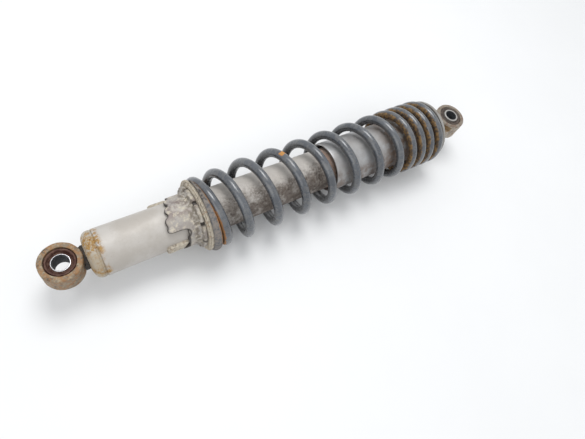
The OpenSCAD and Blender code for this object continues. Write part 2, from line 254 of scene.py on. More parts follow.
def silver_paint(name, base, warm, seam_x=None, grimy=True):
    """Satin silver paint with dust, grime where the shock hangs lowest, and rust at a seam."""
    paint = Paint(name, Metallic=0.12)
    x, turn = paint.axis(0), paint.angle()
    colour = paint.blend(paint.step(paint.grain(28), 0.38, 0.66), base, warm)
    colour = paint.blend(
        paint.times(paint.step(paint.grain(4, shift=3), 0.56, 0.72), 0.35), colour, (0.36, 0.33, 0.29)
    )
    wear = paint.step(paint.grain(0.9, 6, shift=7), 0.60, 0.70)
    colour = paint.blend(paint.times(wear, 0.35), colour, (0.26, 0.22, 0.18))
    rough = paint.rough_mix(paint.step(paint.grain(9, shift=1), 0.35, 0.7), 0.46, 0.62)
    if grimy:
        under = paint.most(paint.step(turn, 62, 132), paint.step(turn, 10, -40))
        low = paint.most(paint.step(turn, 100, 150), paint.step(turn, -10, -60))
        along = paint.times(paint.step(x, 104, 140), paint.step(x, 262, 240))
        patchy = paint.step(paint.grain(13, 7, 0.72, shift=4), 0.34, 0.58)
        speckle = paint.step(paint.grain(1.9, 6, 0.85, shift=9), 0.45, 0.53)
        film = paint.times(under, along, patchy)
        deep = paint.times(low, along, paint.step(paint.grain(9, 6, 0.7, shift=14), 0.36, 0.54))
        colour = paint.blend(paint.times(film, 0.45), colour, (0.225, 0.185, 0.155))
        colour = paint.blend(paint.times(deep, 0.8), colour, (0.120, 0.092, 0.075))
        colour = paint.blend(paint.times(film, speckle, 0.85), colour, GRIME)
        blots = paint.step(paint.grain(5, 8, 0.8, shift=21), 0.53, 0.62)
        colour = paint.blend(paint.times(deep, blots, 0.85), colour, (0.045, 0.034, 0.027))
        lipward = paint.times(under, paint.step(x, 190, 228), paint.step(x, 262, 240))
        heavy = paint.times(lipward, paint.step(paint.grain(6, 8, 0.8, shift=31), 0.48, 0.57))
        colour = paint.blend(paint.times(heavy, 0.75), colour, (0.055, 0.042, 0.034))
        lip = paint.times(paint.near(x, 240.5, 3.0, 4.0), paint.step(paint.grain(3.5, 6, 0.7), 0.30, 0.50))
        colour = paint.blend(paint.times(lip, 0.8), colour, (0.20, 0.12, 0.085))
        rough = paint.most(rough, paint.times(paint.most(film, deep, lip), 0.75))
    if seam_x is not None:
        patches = paint.step(paint.grain(4.2, 8, 0.78, shift=2), 0.44, 0.54)
        top = paint.most(paint.near(turn, 78, 26, 30), paint.near(turn, 180, 12, 30), 0.25)
        rust = paint.times(paint.near(x, seam_x, *((1.6, 3.5) if grimy else (6.5, 5.0))), patches, top)
        colour = paint.blend(rust, colour, RUST_OCHRE)
        cores = paint.times(rust, paint.step(paint.grain(1.6, 5, 0.7, shift=5), 0.52, 0.62))
        colour = paint.blend(cores, colour, RUST_BROWN)
        line = paint.times(paint.near(x, seam_x, 0.25, 0.5), paint.step(paint.grain(6, shift=8), 0.35, 0.55))
        colour = paint.blend(paint.times(line, 0.3), colour, (0.15, 0.10, 0.06))
        rough = paint.most(rough, paint.times(rust, 0.85))
        paint.bump(rust, 0.10)
    paint.bump(paint.grain(0.6, 3, shift=6), 0.02, 0.5)
    paint.bump(paint.grain(7, 3, shift=12), 0.12, 0.5)
    return paint.done(colour, rough)


def corroded(name, base, pale, dark, rust, rust_share, metallic=0.1, scale=1.0, upper_eye=False):
    """Old coating over steel: pale bloom, dark stains, rust patches and small pits. The upper eye
    also has a browned face and a rusty pocket in its neck."""
    paint = Paint(name, Metallic=metallic)
    bloom = paint.step(paint.grain(5 * scale, 7, 0.68), 0.44, 0.60)
    stain = paint.step(paint.grain(7 * scale, 6, 0.70, shift=3), 0.50, 0.64)
    patch = paint.step(paint.grain(6 * scale, 6, 0.70, shift=6), 0.62 - 0.22 * rust_share, 0.72 - 0.2 * rust_share)
    pits = paint.step(paint.grain(0.9, 4, 0.7, shift=9), 0.36, 0.28)
    colour = paint.blend(paint.times(bloom, 0.85), base, pale)
    colour = paint.blend(paint.times(stain, 0.8), colour, dark)
    colour = paint.blend(paint.times(patch, 0.75), colour, rust)
    colour = paint.blend(paint.times(pits, 0.8), colour, (0.05, 0.04, 0.032))
    if upper_eye:
        x, z = paint.axis(0), paint.calc("ABSOLUTE", paint.axis(2))
        face = paint.times(paint.step(z, upper_ring_z - 0.9, upper_ring_z - 0.35), 0.8)
        browned = paint.blend(patch, (0.175, 0.145, 0.115), (0.115, 0.055, 0.032))
        colour = paint.blend(face, colour, browned)
        pocket = paint.times(paint.step(x, upper_x - 7.5, upper_x - 9.5), paint.near(paint.axis(2), 5.6, 2.4, 0.7))
        rusty = paint.blend(stain, (0.20, 0.125, 0.05), (0.075, 0.045, 0.026))
        colour = paint.blend(paint.times(pocket, 0.95), colour, rusty)
    rough = paint.rough_mix(bloom, 0.55, 0.82)
    paint.bump(paint.grain(3 * scale, 6, 0.7, shift=2), 0.35, 0.8)
    paint.bump(paint.grain(0.8, 4, 0.7, shift=9), 0.12, 0.8)
    return paint.done(colour, rough)


def cam_coating():
    """Grey coating on the cam ring with mauve-brown stains at the top and cream corrosion veins."""
    paint = Paint("cam_metal", Metallic=0.15)
    x, turn = paint.axis(0), paint.angle()
    stains = paint.step(paint.grain(7, 6, 0.7), 0.42, 0.58)
    upper = paint.times(stains, paint.most(paint.near(turn, 72, 22, 20), 0.35))
    veins = paint.step(paint.grain(4.2, 8, 0.75, shift=4), 0.50, 0.60)
    colour = paint.blend(paint.step(paint.grain(14, shift=2), 0.4, 0.6), (0.33, 0.305, 0.285), (0.40, 0.37, 0.325))
    colour = paint.blend(paint.times(upper, 0.85), colour, (0.165, 0.128, 0.118))
    colour = paint.blend(paint.times(veins, 0.7), colour, (0.62, 0.56, 0.45))
    root = paint.times(paint.near(x, cam_end_x - 5.5, 1.5, 4), paint.step(paint.grain(3, 6, shift=8), 0.42, 0.56))
    colour = paint.blend(paint.times(root, 0.8), colour, (0.14, 0.115, 0.085))
    flecks = paint.step(paint.grain(1.1, 5, 0.75, shift=11), 0.60, 0.70)
    colour = paint.blend(paint.times(flecks, 0.8), colour, (0.10, 0.075, 0.06))
    shadow = paint.most(paint.attribute("edge"), paint.attribute("notch"))
    colour = paint.blend(paint.times(shadow, 0.9), colour, (0.022, 0.017, 0.014))
    paint.bump(veins, 0.12, 0.8)
    paint.bump(paint.grain(1.2, 5, 0.7, shift=9), 0.14, 0.8)
    return paint.done(colour, paint.rough_mix(veins, 0.5, 0.8))


def spring_coating():
    """Semi-gloss blue-grey paint. The close coils carry rust bands in their grooves, and one
    open coil has a rust chip. The turn and groove of each point come with the mesh."""
    paint = Paint("spring_paint", Coat_Roughness=0.13, Specular_IOR_Level=0.6)
    turn, groove, top = paint.attribute("turn"), paint.attribute("groove"), paint.attribute("outer")
    tone = paint.step(paint.grain(22, 4, shift=1), 0.35, 0.65)
    colour = paint.blend(tone, (0.045, 0.051, 0.062), (0.078, 0.086, 0.098))
    dust = paint.step(paint.grain(6, 6, 0.7, shift=5), 0.46, 0.64)
    colour = paint.blend(paint.times(dust, 0.40), colour, (0.150, 0.143, 0.130))
    scuffs = paint.step(paint.grain(1.0, 5, 0.75, shift=8), 0.63, 0.70)
    colour = paint.blend(paint.times(scuffs, 0.5), colour, (0.26, 0.24, 0.20))
    # Painted shade: the wire's end below turn 0.3, beside the lower seat, is darkened to near black
    colour = paint.blend(paint.times(paint.step(turn, 0.30, 0.25), 0.8), colour, (0.020, 0.017, 0.015))
    # Painted shade: the wire's flanks and inner side, away from its outermost line, darkened to near black in patches
    flank_shade = paint.times(paint.step(top, 0.80, 0.42), paint.step(paint.grain(4, 5, 0.7, shift=17), 0.22, 0.48))
    colour = paint.blend(paint.times(flank_shade, 0.7), colour, (0.024, 0.022, 0.021))
    ragged = paint.calc("ADD", groove, paint.calc("MULTIPLY", paint.grain(5, 6, 0.7, shift=3), 1.1))
    band = paint.step(ragged, 0.96, 1.20)
    rust_tone = paint.blend(paint.step(paint.grain(3.2, 5, shift=6), 0.4, 0.6), (0.225, 0.128, 0.038), (0.050, 0.032, 0.019))
    bright = paint.times(paint.step(turn, 2.1, 1.8), paint.step(groove, 0.98, 0.75))
    rust_tone = paint.blend(bright, rust_tone, (0.34, 0.15, 0.042))
    colour = paint.blend(paint.times(band, 0.9), colour, rust_tone)
    caked = paint.times(paint.step(turn, 1.02, 0.8), paint.step(paint.grain(3, 7, 0.75, shift=13), 0.40, 0.55))
    colour = paint.blend(paint.times(caked, 0.75, paint.calc("SUBTRACT", 1.0, band)), colour, (0.24, 0.205, 0.175))
    chip_edge = paint.calc("MULTIPLY", paint.calc("SUBTRACT", paint.grain(2.5, 4, shift=2), 0.5), 0.03)
    chip_turn = paint.calc("ADD", turn, chip_edge)
    chips = [paint.times(paint.near(chip_turn, at, wide, 0.004), paint.step(top, 0.80, 0.93)) for at, wide in CHIPS]
    chip = paint.most(*chips)
    colour = paint.blend(chip, colour, paint.blend(paint.step(paint.grain(1.5), 0.45, 0.6), RUST_ORANGE, RUST_OCHRE))
    flat = paint.most(band, chip, paint.step(turn, 1.0, 0.7))
    rough = paint.most(paint.rough_mix(dust, 0.24, 0.44), paint.times(flat, 0.85))
    paint.feed(paint.shader.inputs["Coat Weight"], paint.rough_mix(flat, 0.6, 0.0))
    paint.bump(paint.grain(1.6, 4, 0.6, shift=4), 0.05, 0.6)
    paint.bump(paint.grain(9, 2, shift=7), 0.15, 0.6)
    return paint.done(colour, rough)


def shroud_coating():
    """Satin metallic grey sheet with a brown haze low down and towards its closed end."""
    paint = Paint("shroud_metal", Metallic=0.55)
    x, turn = paint.axis(0), paint.angle()
    colour = paint.blend(paint.step(paint.grain(20), 0.38, 0.62), (0.44, 0.445, 0.45), (0.36, 0.355, 0.35))
    low = paint.most(paint.step(turn, 120, 158), paint.step(turn, -30, -70))
    haze = paint.times(paint.step(paint.grain(12, 6, 0.7, shift=2), 0.36, 0.56), paint.most(low, 0.22))
    colour = paint.blend(paint.times(haze, 0.75), colour, (0.19, 0.14, 0.115))
    specks = paint.times(paint.step(paint.grain(2.2, 6, 0.8, shift=4), 0.55, 0.64), paint.most(low, 0.2))
    colour = paint.blend(paint.times(specks, 0.8), colour, (0.12, 0.075, 0.055))
    far = paint.times(paint.step(x, 296, 318), paint.step(paint.grain(7, 5, shift=6), 0.38, 0.55))
    colour = paint.blend(paint.times(far, 0.75), colour, (0.17, 0.10, 0.06))
    paint.bump(paint.grain(9, 3, shift=9), 0.12, 0.5)
    return paint.done(colour, paint.rough_mix(haze, 0.33, 0.62))


def rubber(name, base, dusty):
    """Aged rubber with a dusty bloom and fine cracks round the bore."""
    paint = Paint(name, Specular_IOR_Level=0.35)
    bloom = paint.step(paint.grain(3.5, 6, 0.7), 0.42, 0.62)
    cracks = paint.step(paint.grain(1.0, 5, 0.8, shift=4), 0.38, 0.30)
    colour = paint.blend(paint.times(bloom, 0.7), base, dusty)
    colour = paint.blend(paint.times(cracks, 0.8), colour, (0.018, 0.012, 0.010))
    paint.bump(paint.grain(1.1, 5, 0.7, shift=4), 0.12, 0.8)
    return paint.done(colour, paint.rough_mix(bloom, 0.55, 0.8))


def bare_metal(name, base, roughness, metallic=1.0, spots=0.4, bore_at=None):
    """Bare or plated metal with faint turning marks, handling stains and small dark spots.
    A bore along Z at x = bore_at has painted shade inside: near black, in two dark tones that vary with the stain
    noise."""
    paint = Paint(name, Metallic=metallic)
    stain = paint.step(paint.grain(6, 5, 0.65), 0.42, 0.66)
    spot = paint.step(paint.grain(0.9, 4, 0.7, shift=5), 0.64, 0.72)
    darker = tuple(0.62 * c for c in base)
    colour = paint.blend(paint.times(stain, 0.55), base, darker)
    colour = paint.blend(paint.times(spot, spots), colour, (0.10, 0.08, 0.065))
    rough = paint.rough_mix(stain, roughness, min(1.0, roughness + 0.2))
    if bore_at is not None:
        away = [paint.calc("SUBTRACT", paint.axis(0), bore_at), paint.axis(1)]
        squares = [paint.times(side, side) for side in away]
        # Painted shade: the inside of the bore is coloured near black
        inside = paint.step(paint.calc("SQRT", paint.calc("ADD", *squares)), bore_r + 0.45, bore_r + 0.25)
        bore_shade = paint.blend(stain, (0.050, 0.053, 0.060), (0.016, 0.016, 0.017))
        colour = paint.blend(inside, colour, bore_shade)
        rough = paint.most(rough, paint.times(inside, 0.7))
        paint.feed(paint.shader.inputs["Metallic"], paint.rough_mix(inside, metallic, 0.0))
    paint.bump(paint.grain(0.5, 2, stretch=(8, 1, 1)), 0.01, 0.4)
    return paint.done(colour, rough)


def moulded(name, base, roughness):
    """Filled plastic, foam or seal rubber: matt, with a fine even grain."""
    paint = Paint(name)
    tone = paint.step(paint.grain(4, 5), 0.35, 0.65)
    colour = paint.blend(tone, base, tuple(1.5 * c for c in base))
    paint.bump(paint.grain(0.7, 4, 0.6, shift=2), 0.06, 0.7)
    return paint.done(colour, paint.rough_mix(tone, roughness, roughness + 0.12))


# The rust chip on an open coil: turn of the spring and half length in turns
CHIPS = [(4.188, 0.008)]

materials = {
    "body_paint": silver_paint("body_paint", (0.47, 0.445, 0.415), (0.40, 0.37, 0.335), seam_x=tube_x),
    "cap_paint": silver_paint("cap_paint", (0.42, 0.385, 0.33), (0.36, 0.31, 0.235), seam_x=tube_x - 2, grimy=False),
    "eye_steel_lower": corroded(
        "eye_steel_lower", (0.195, 0.147, 0.098), (0.36, 0.30, 0.21), (0.036, 0.025, 0.018), (0.26, 0.122, 0.038), 0.78, scale=0.62
    ),
    "eye_steel_upper": corroded(
        "eye_steel_upper", (0.33, 0.295, 0.25), (0.50, 0.455, 0.37), (0.125, 0.095, 0.072), (0.215, 0.105, 0.045), 0.5, scale=0.7,
        upper_eye=True,
    ),
    "weld": corroded("weld", (0.017, 0.014, 0.012), (0.080, 0.066, 0.052), (0.007, 0.006, 0.005), (0.06, 0.032, 0.017), 0.4, scale=0.4),
    "rubber_lower": rubber("rubber_lower", (0.060, 0.022, 0.016), (0.175, 0.105, 0.075)),
    "rubber_upper": rubber("rubber_upper", (0.052, 0.038, 0.032), (0.125, 0.098, 0.080)),
    "sleeve_bright": bare_metal("sleeve_bright", (0.68, 0.675, 0.69), 0.24, spots=0.2, bore_at=0.0),
    "sleeve_dull": bare_metal("sleeve_dull", (0.42, 0.405, 0.385), 0.42, metallic=0.7, bore_at=upper_x),
    "cam_metal": cam_coating(),
    "seat_metal": corroded(
        "seat_metal", (0.40, 0.355, 0.285), (0.55, 0.50, 0.405), (0.13, 0.10, 0.075), (0.26, 0.15, 0.07), 0.35, scale=0.5
    ),
    "spring_paint": spring_coating(),
    "shroud_metal": shroud_coating(),
    "upper_seat_paint": silver_paint("upper_seat_paint", (0.29, 0.285, 0.275), (0.22, 0.205, 0.185), grimy=False),
    "tube_steel": bare_metal("tube_steel", (0.56, 0.56, 0.57), 0.3),
    "sintered": bare_metal("sintered", (0.34, 0.33, 0.31), 0.55, metallic=0.8),
    "valve_steel": bare_metal("valve_steel", (0.50, 0.51, 0.53), 0.22),
    "fastener_steel": bare_metal("fastener_steel", (0.33, 0.33, 0.34), 0.36),
    "bush_bronze": bare_metal("bush_bronze", (0.60, 0.40, 0.20), 0.38),
    "seal_rubber": moulded("seal_rubber", (0.02, 0.02, 0.021), 0.5),
    "rod_chrome": bare_metal("rod_chrome", (0.78, 0.79, 0.80), 0.07, spots=0.1),
    "band_plastic": moulded("band_plastic", (0.15, 0.08, 0.045), 0.45),
    "foam": moulded("foam", (0.035, 0.033, 0.03), 0.8),
}


# ---------------------------------------------------------------- mesh helpers


def rounded(points, radius, steps=4, closed=True):
    """Outline with its corners rounded off; a point's third value overrides the radius."""
    made, count = [], len(points)
    for i, point in enumerate(points):
        corner = Vector(point[:2])
        if not closed and i in (0, count - 1):
            made.append(tuple(corner))
            continue
        before = Vector(points[i - 1][:2]) - corner
        after = Vector(points[(i + 1) % count][:2]) - corner
        size = point[2] if len(point) > 2 else radius
        size = min(size, before.length * 0.48, after.length * 0.48)
        if size <= 0:
            made.append(tuple(corner))
            continue
        start, end = corner + before.normalized() * size, corner + after.normalized() * size
        for k in range(steps + 1):
            t = k / steps
            made.append(tuple(start * (1 - t) ** 2 + corner * 2 * t * (1 - t) + end * t * t))
    return made


def fine(points, length, closed=True):
    """The same outline with its long edges split, so that it can be roughened."""
    made, count = [], len(points)
    for i in range(count if closed else count - 1):
        a, b = Vector(points[i]), Vector(points[(i + 1) % count])
        parts = max(1, math.ceil((b - a).length / length))
        made += [tuple(a.lerp(b, k / parts)) for k in range(parts)]
    return made if closed else made + [tuple(points[-1])]


def mesh_object(name, vertices, faces, slot, body, replaced=(), sharp=50):
    """Object from points in millimetres, shaded smooth but for sharp edges."""
    data = bpy.data.meshes.new(name)
    data.from_pydata([Vector(v) * MM for v in vertices], [], faces)
    data.validate()
    bm = bmesh.new()
    bm.from_mesh(data)
    bmesh.ops.recalc_face_normals(bm, faces=bm.faces)
    bm.to_mesh(data)
    bm.free()
    obj = bpy.data.objects.new(name, data)
    bpy.context.scene.collection.objects.link(obj)
    data.materials.append(materials[slot])
    data.shade_smooth()
    data.set_sharp_from_angle(angle=math.radians(sharp))
    if replaced:
        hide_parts(*replaced)
    if body:
        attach(obj, body)
    return obj


def roughen(vertices, size, depth, seed=0.0):
    """Pushes points (millimetres) about by noise whose features are size across."""
    shift = Vector((seed, seed, seed))
    return [tuple(Vector(v) + noise.noise_vector(Vector(v) / size + shift) * depth) for v in vertices]


def rings_mesh(rings, ring_closed=True, wrap=True):
    """Faces joining equal rings of points; wrap joins the last ring to the first."""
    count, size = len(rings), len(rings[0])
    vertices = [p for ring in rings for p in ring]
    faces = []
    for i in range(count if wrap else count - 1):
        for j in range(size if ring_closed else size - 1):
            a, b = i * size + j, i * size + (j + 1) % size
            c, d = ((i + 1) % count) * size + (j + 1) % size, ((i + 1) % count) * size + j
            faces.append((a, b, c, d))
    return vertices, faces


def turned_x(outline, steps=160):
    """Rings of a closed outline [radius, x] turned about the shock's axis."""
    rings = []
    for i in range(steps):
        a = 2 * math.pi * i / steps
        rings.append([(x, r * math.cos(a), r * math.sin(a)) for r, x in outline])
    return rings_mesh(rings)


def turned_z(outline, centre_x, steps=144):
    """Rings of a closed outline [radius, z] turned about a line along Z."""
    rings = []
    for i in range(steps):
        a = 2 * math.pi * i / steps
        rings.append([(centre_x + r * math.cos(a), r * math.sin(a), z) for r, z in outline])
    return rings_mesh(rings)


def mirrored(half):
    """An outline [radius, z] of one half, and its mirror image below z = 0."""
    return half + [(p[0], -p[1], *p[2:]) for p in reversed(half)]


def lathe_x(name, points, slot, body, node, radius=0.5, edge=2.0, lumps=(6, 0.0), steps=160):
    outline = fine(rounded(points, radius), edge)
    vertices, faces = turned_x(outline, steps)
    return mesh_object(name, roughen(vertices, *lumps), faces, slot, body, (node,))


def lathe_z(name, half, centre_x, slot, body, node, radius=0.5, edge=1.5, lumps=(5, 0.0), steps=144):
    outline = fine(rounded(mirrored(half), radius), edge)
    vertices, faces = turned_z(outline, centre_x, steps)
    return mesh_object(name, roughen(vertices, *lumps), faces, slot, body, (node,))


# ---------------------------------------------------------------- eyes


def eye(prefix, x, ring_r, ring_z, rubber_r, sleeve_r, sleeve_z, body, sleeve_body, dish):
    """Eye ring, its rubber bush and its sleeve. dish says how the rubber's face is shaped."""
    lathe_z(
        f"{prefix}_eye", [(rubber_r, ring_z, 0.5), (ring_r, ring_z, 1.3)], x, f"eye_steel_{prefix}", body,
        f"{prefix}_eye_ring", edge=0.9, lumps=(4.5, 0.22), steps=200,
    )
    lathe_z(f"{prefix}_rubber", dish, x, f"rubber_{prefix}", body, f"{prefix}_bush_rubber", 0.55, 0.7, (2.5, 0.09))
    lathe_z(
        f"{prefix}_bolt_sleeve", [(bore_r, sleeve_z, 0.35), (sleeve_r, sleeve_z, 0.3)], x,
        "sleeve_bright" if prefix == "lower" else "sleeve_dull", sleeve_body, f"{prefix}_sleeve",
    )


lower_dish = [
    (lower_sleeve_r + 0.05, lower_sleeve_z - 0.7), (lower_sleeve_r + 1.1, lower_sleeve_z - 1.3),
    (lower_sleeve_r + 1.9, lower_sleeve_z - 1.9), (lower_rubber_r - 2.1, lower_ring_z - 0.9),
    (lower_rubber_r - 1.0, lower_ring_z - 0.6), (lower_rubber_r - 0.45, lower_ring_z - 2.3), (lower_rubber_r, lower_ring_z - 2.2),
]
upper_dish = [
    (upper_sleeve_r + 0.05, upper_sleeve_z - 1.6), (upper_sleeve_r + 1.0, upper_sleeve_z - 2.6),
    (upper_sleeve_r + 1.8, upper_ring_z - 1.0), (upper_rubber_r - 1.4, upper_ring_z - 0.5),
    (upper_rubber_r - 0.5, upper_ring_z - 1.5), (upper_rubber_r, upper_ring_z - 1.2),
]
eye(
    "lower", 0, lower_ring_r, lower_ring_z, lower_rubber_r, lower_sleeve_r, lower_sleeve_z, "damper_body",
    "lower_sleeve_turning", lower_dish,
)
eye(
    "upper", upper_x, upper_ring_r, upper_ring_z, upper_rubber_r, upper_sleeve_r, upper_sleeve_z, "rod_assembly",
    "upper_sleeve_turning", upper_dish,
)


def weld_bead():
    """Rough bead between the lower ring and the cap. Its foot follows the ring's round side."""
    steps, rows = 96, 14
    rings = []
    for i in range(steps):
        a = 2 * math.pi * i / steps
        ring = []
        for k in range(rows):
            t = k / (rows - 1)
            r = 8.1 + 1.5 * t ** 3 + 0.5 * math.sin(math.pi * t)
            y, z = r * math.cos(a), r * math.sin(a)
            start = math.sqrt(max(lower_ring_r ** 2 - y * y, 0)) - 0.8
            ring.append((start + (cap_x + 0.3 - start) * t, y, z))
        ring.append((cap_x + 0.3, 4 * math.cos(a), 4 * math.sin(a)))
        ring.append((lower_ring_r - 1, 4 * math.cos(a), 4 * math.sin(a)))
        rings.append(ring)
    vertices, faces = rings_mesh(rings)
    lumps = roughen(roughen(vertices, 2.4, 1.0), 1.0, 0.7, 5)
    mesh_object("eye_weld_bead", lumps, faces, "weld", "damper_body", ("lower_eye_weld",))


weld_bead()


def slab(outline, low_z, high_z, rounding):
    """Rings of an outline [x, y] stacked along Z, with the rims of both faces rounded off."""
    middle_x = sum(x for x, _ in outline) / len(outline)
    levels = [(low_z, 1.0), (low_z + 0.3 * rounding, 0.4), (low_z + rounding, 0.0)]
    levels += [(low_z + rounding + (high_z - low_z - 2 * rounding) * k / 8, 0.0) for k in range(1, 8)]
    levels += [(high_z - rounding, 0.0), (high_z - 0.3 * rounding, 0.4), (high_z, 1.0)]
    rings = []
    for z, inset in levels:
        ring = []
        for x, y in outline:
            keep = 1 - inset * rounding / max(abs(y), rounding)
            ring.append((x + (middle_x - x) * 0.02 * inset, y * keep, z))
        rings.append(ring)
    vertices, faces = rings_mesh(rings, wrap=False)
    size = len(outline)
    return vertices, faces + [tuple(range(size)), tuple(range(len(vertices) - size, len(vertices)))]


def upper_neck():
    """Neck of the upper eye: a flared plate out to the ring's sides and a narrower core above it,
    which leaves a pocket behind the ring."""
    end_x = upper_x - upper_ring_r * 0.5
    side_x, start_w, plate_top_z, core_w = upper_x - 6.0, 13.0, 3.0, 9.5
    low = [(neck_x, start_w), (neck_x, -start_w), (side_x, -flare_w), (end_x, -flare_w * 0.8),
           (end_x, flare_w * 0.8), (side_x, flare_w)]
    high = [(neck_x, core_w), (neck_x, -core_w), (end_x, -core_w), (end_x, core_w)]
    parts = []
    for outline, bottom, top in ((low, neck_low_z, plate_top_z), (high, plate_top_z - 2, neck_half_h)):
        parts.append(slab(fine(rounded(outline, 0.6), 1.0), bottom, top, 1.1))
    vertices = parts[0][0] + parts[1][0]
    faces = parts[0][1] + [tuple(len(parts[0][0]) + n for n in face) for face in parts[1][1]]
    mesh_object(
        "upper_neck", roughen(vertices, 4, 0.22, 3), faces, "eye_steel_upper", "rod_assembly", ("upper_eye_neck",)
    )


upper_neck()


# ---------------------------------------------------------------- damper body

dome_r = tube_r - 10.2
dome = [(0.6 * r, cap_x) for r in (10.0, 16.0)] + [
    (10.2 + (dome_r - 0.15) * math.sin(a), cap_x + 6.4 * (1 - math.cos(a)))
    for a in np.radians([12, 26, 40, 54, 68, 80, 90])
]
lathe_x(
    "cap",
    [(0.4, cap_x, 0)] + dome + [(tube_r - 0.1, tube_x - 1.3, 0.5), (tube_r - 0.75, tube_x - 0.35, 0.2),
     (tube_r - 0.75, tube_x, 0), (17.3, tube_x, 0), (17.3, cap_end_x, 0), (14.5, cap_end_x, 0), (14.5, 24, 0),
     (8, 20.5, 0), (0.4, 20.5, 0)],
    "cap_paint", "damper_body", "bottom_cap", radius=0.8, edge=1.4, lumps=(7, 0.18), steps=180,
)


def lug(name, turn, slot_seed):
    """A stop lug: a soft-edged block welded along the tube, its end slanted like the cam's steps."""
    count, half_w, slant = 34, 5.6, 3.8
    top, bottom = [], []
    for i in range(count + 1):
        for k in range(count + 1):
            u, v = 2 * i / count - 1, 2 * k / count - 1
            side = v * half_w
            end = lug_end_x - slant * (v + 1) / 2
            nose = lug_x + 1.6 * abs(v) ** 3
            x = nose + (end - nose) * (u + 1) / 2
            height = (lug_r - tube_r) * max(0.0, 1 - abs(u) ** 14) ** 0.3 * max(0.0, 1 - abs(v) ** 12) ** 0.3
            for layer, r in ((top, tube_r - 0.1 + height), (bottom, tube_r - 0.3)):
                a = math.radians(turn) + side / lug_r
                layer.append((x, r * math.cos(a), r * math.sin(a)))
    rough = roughen(top, 2.4, 0.2, slot_seed)
    size = count + 1
    faces = []
    for i in range(count):
        for k in range(count):
            a, b, c, d = i * size + k, i * size + k + 1, (i + 1) * size + k + 1, (i + 1) * size + k
            faces += [(a, b, c, d), tuple(size * size + n for n in (d, c, b, a))]
    border = [k for k in range(size)] + [i * size + count for i in range(1, size)]
    border += [count * size + k for k in range(count - 1, -1, -1)] + [i * size for i in range(count - 1, 0, -1)]
    for a, b in zip(border, border[1:] + border[:1]):
        faces.append((a, b, size * size + b, size * size + a))
    return mesh_object(name, rough + bottom, faces, "seat_metal", "damper_body")


lugs = [lug("stop_lug_a", 2, 1), lug("stop_lug_b", 182, 8)]
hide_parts("preload_stop_lugs")
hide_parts("preload_stop_lugs")

# ---------------------------------------------------------------- preload cam and lower seat

# Half a turn of the cam's edge, as [angle, x]: the lug's notch, four rising steps worn into waves,
# the long tip, the steep side back and the hump before the next notch
CAM_EDGE = [
    (-2, 92.8), (12, 92.8), (19, 88.6), (30, 88.4), (44, 89.3), (50, 84.6), (60, 83.6), (70, 86.0),
    (76, 81.6), (84, 80.6), (94, 82.6), (100, 78.4), (108, 77.8), (116, 78.6), (125, 76.8), (130.6, 78.6),
    (131.4, 84.6), (132, 89.5), (134, 93.6), (142, 95.1), (151, 93.2), (159, 91.2), (168, 92.3),
]


def smooth_loop(points, rounds):
    """Closed line with its corners cut away, rounds times over."""
    for _ in range(rounds):
        ahead = points[1:] + points[:1]
        points = [q for a, b in zip(points, ahead) for q in (a.lerp(b, 0.25), a.lerp(b, 0.75))]
    return points


